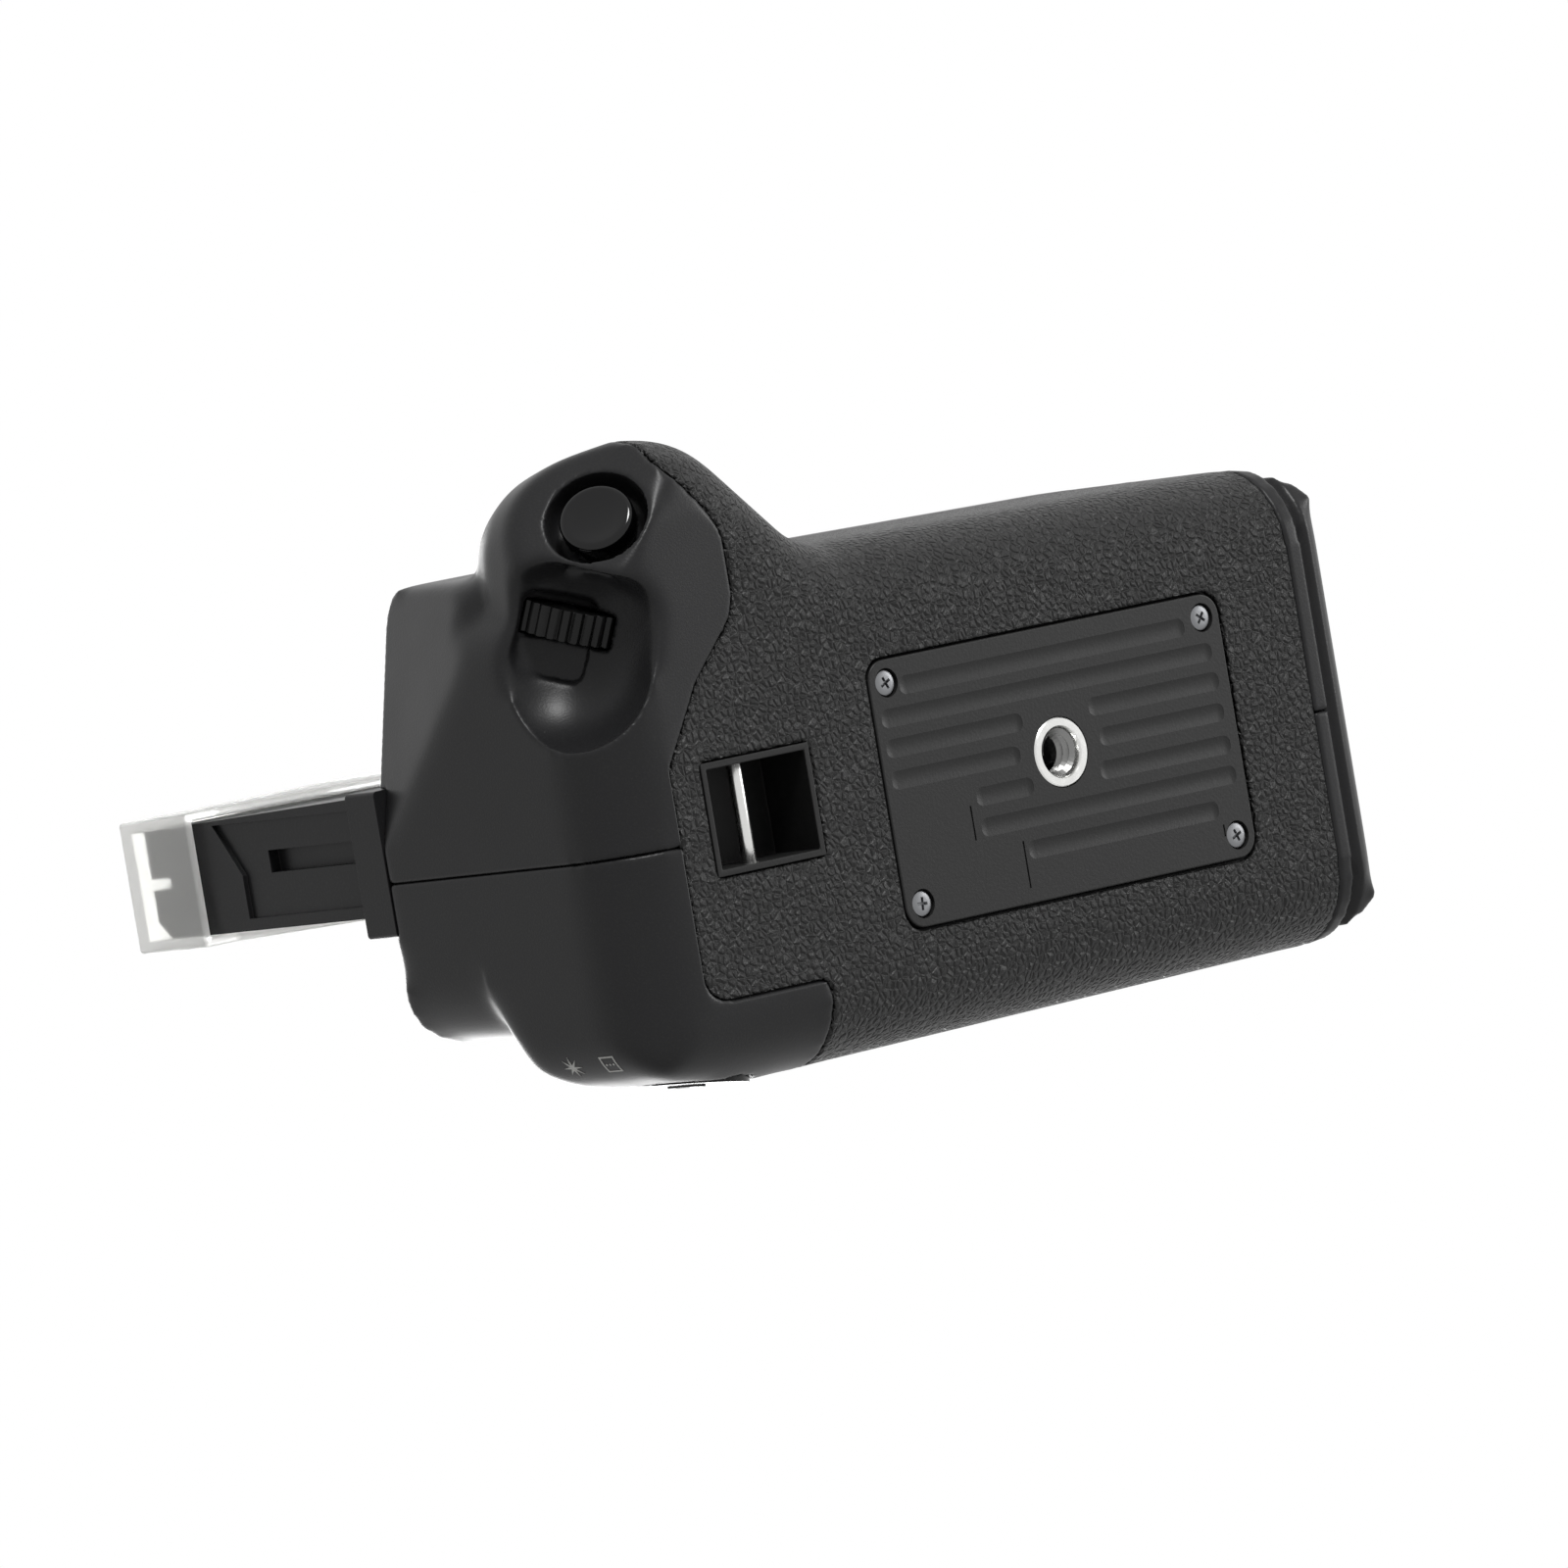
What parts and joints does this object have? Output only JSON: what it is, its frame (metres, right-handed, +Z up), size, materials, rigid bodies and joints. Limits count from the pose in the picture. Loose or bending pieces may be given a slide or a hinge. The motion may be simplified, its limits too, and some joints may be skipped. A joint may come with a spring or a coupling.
{
  "type": "camera battery grip",
  "caption": "Vertical camera battery grip with rubber skin, shutter button, control dial, camera screw, tongue with clear cap, tripod socket and slide-out battery magazine.",
  "frame": {"origin": "centre of the tripod socket in the plane of the bottom face", "axes": "+X towards the shutter end, +Y to the front, +Z up towards the camera body"},
  "size_m": [0.1318, 0.0857, 0.1056],
  "materials": {
    "shell_plastic": "satin moulded",
    "grip_rubber": "leather grain",
    "plate_plastic": "fine satin",
    "steel": "plated",
    "bright_metal": "turned and plated",
    "trim_plastic": "satin",
    "button_gloss": "polished",
    "button_satin": "satin",
    "dial_plastic": "satin knurled",
    "switch_plastic": "matte",
    "circuit_board": "solder mask",
    "tongue_plastic": "satin",
    "contact_gold": "gold plated",
    "cap_clear": "frosted translucent",
    "tray_plastic": "matte",
    "battery_plastic": "satin"
  },
  "bodies": {
    "housing": {"front_shell": "shell_plastic", "rear_shell": "shell_plastic", "grip_rubber": "grip_rubber", "seat_plate": "shell_plastic", "seat_screws": "steel", "locating_pins": "steel", "tripod_plate": "plate_plastic", "tripod_plate_screws": "steel", "tripod_socket": "bright_metal", "strap_window_liner": "trim_plastic", "strap_bar": "bright_metal", "shutter_switch": "switch_plastic", "dial_shaft": "steel", "dial_encoder": "circuit_board", "rear_button_switches": "switch_plastic", "thumb_wheel_pin": "steel", "tongue_collar": "shell_plastic", "tongue": "tongue_plastic", "tongue_contacts": "contact_gold", "chamber_contacts": "contact_gold", "main_board": "circuit_board"},
    "shutter": {"shutter_button": "button_gloss"},
    "dial": {"main_dial": "dial_plastic"},
    "ae_lock": {"ae_lock_button": "button_satin"},
    "af_point": {"af_point_button": "button_satin"},
    "exposure": {"exposure_button": "button_satin"},
    "power": {"power_switch": "button_satin"},
    "wheel": {"thumb_wheel": "dial_plastic"},
    "screw": {"camera_screw": "bright_metal", "camera_screw_gear": "steel"},
    "cap": {"tongue_cap": "cap_clear"},
    "magazine": {"magazine_frame": "tray_plastic", "magazine_end_cover": "shell_plastic", "battery_upper": "battery_plastic", "battery_lower": "battery_plastic", "magazine_contacts": "contact_gold"},
    "latch": {"latch_knob": "button_satin", "latch_cam": "steel"}
  },
  "joints": [
    {"name": "shutter_press", "type": "slide", "parent": "housing", "child": "shutter", "axis": [-0.635, -0.5798, 0.5105], "range_m": [0, 0.001], "stiffness_N_per_m": 600},
    {"name": "dial_turn", "type": "hinge", "parent": "housing", "child": "dial", "pos_m": [0.06547, 0.02929, 0.01684], "axis": [-0.204, 0.9272, -0.3142], "continuous": true},
    {"name": "ae_lock_press", "type": "slide", "parent": "housing", "child": "ae_lock", "axis": [0, 0.8423, -0.5391], "range_m": [0, 0.0008], "stiffness_N_per_m": 500},
    {"name": "af_point_press", "type": "slide", "parent": "housing", "child": "af_point", "axis": [0, 0.8423, -0.5391], "range_m": [0, 0.0008], "stiffness_N_per_m": 500},
    {"name": "exposure_press", "type": "slide", "parent": "housing", "child": "exposure", "axis": [0, 0.8423, -0.5391], "range_m": [0, 0.0008], "stiffness_N_per_m": 500},
    {"name": "power_turn", "type": "hinge", "parent": "housing", "child": "power", "pos_m": [0.06, -0.0334, 0.013], "axis": [0.1443, -0.9895, 0], "range_deg": [0, 35]},
    {"name": "thumb_turn", "type": "hinge", "parent": "housing", "child": "wheel", "pos_m": [-0.0092, -0.0137, 0.045], "axis": [0, 0, 1], "continuous": true},
    {"name": "screw_turn", "type": "hinge", "parent": "housing", "child": "screw", "pos_m": [0, 0, 0.05], "axis": [0, 0, 1], "continuous": true},
    {"name": "cap_lift", "type": "slide", "parent": "housing", "child": "cap", "axis": [0, 0, 1], "range_m": [0, 0.06]},
    {"name": "magazine_slide", "type": "slide", "parent": "housing", "child": "magazine", "axis": [-1, 0, 0], "range_m": [0, 0.06]},
    {"name": "latch_turn", "type": "hinge", "parent": "magazine", "child": "latch", "pos_m": [-0.054, 0.008, 0.02435], "axis": [-1, 0, 0], "range_deg": [0, 90]}
  ],
  "couplings": [
    {"joint": "screw_turn", "follows": "thumb_turn", "ratio": -1.2}
  ]
}
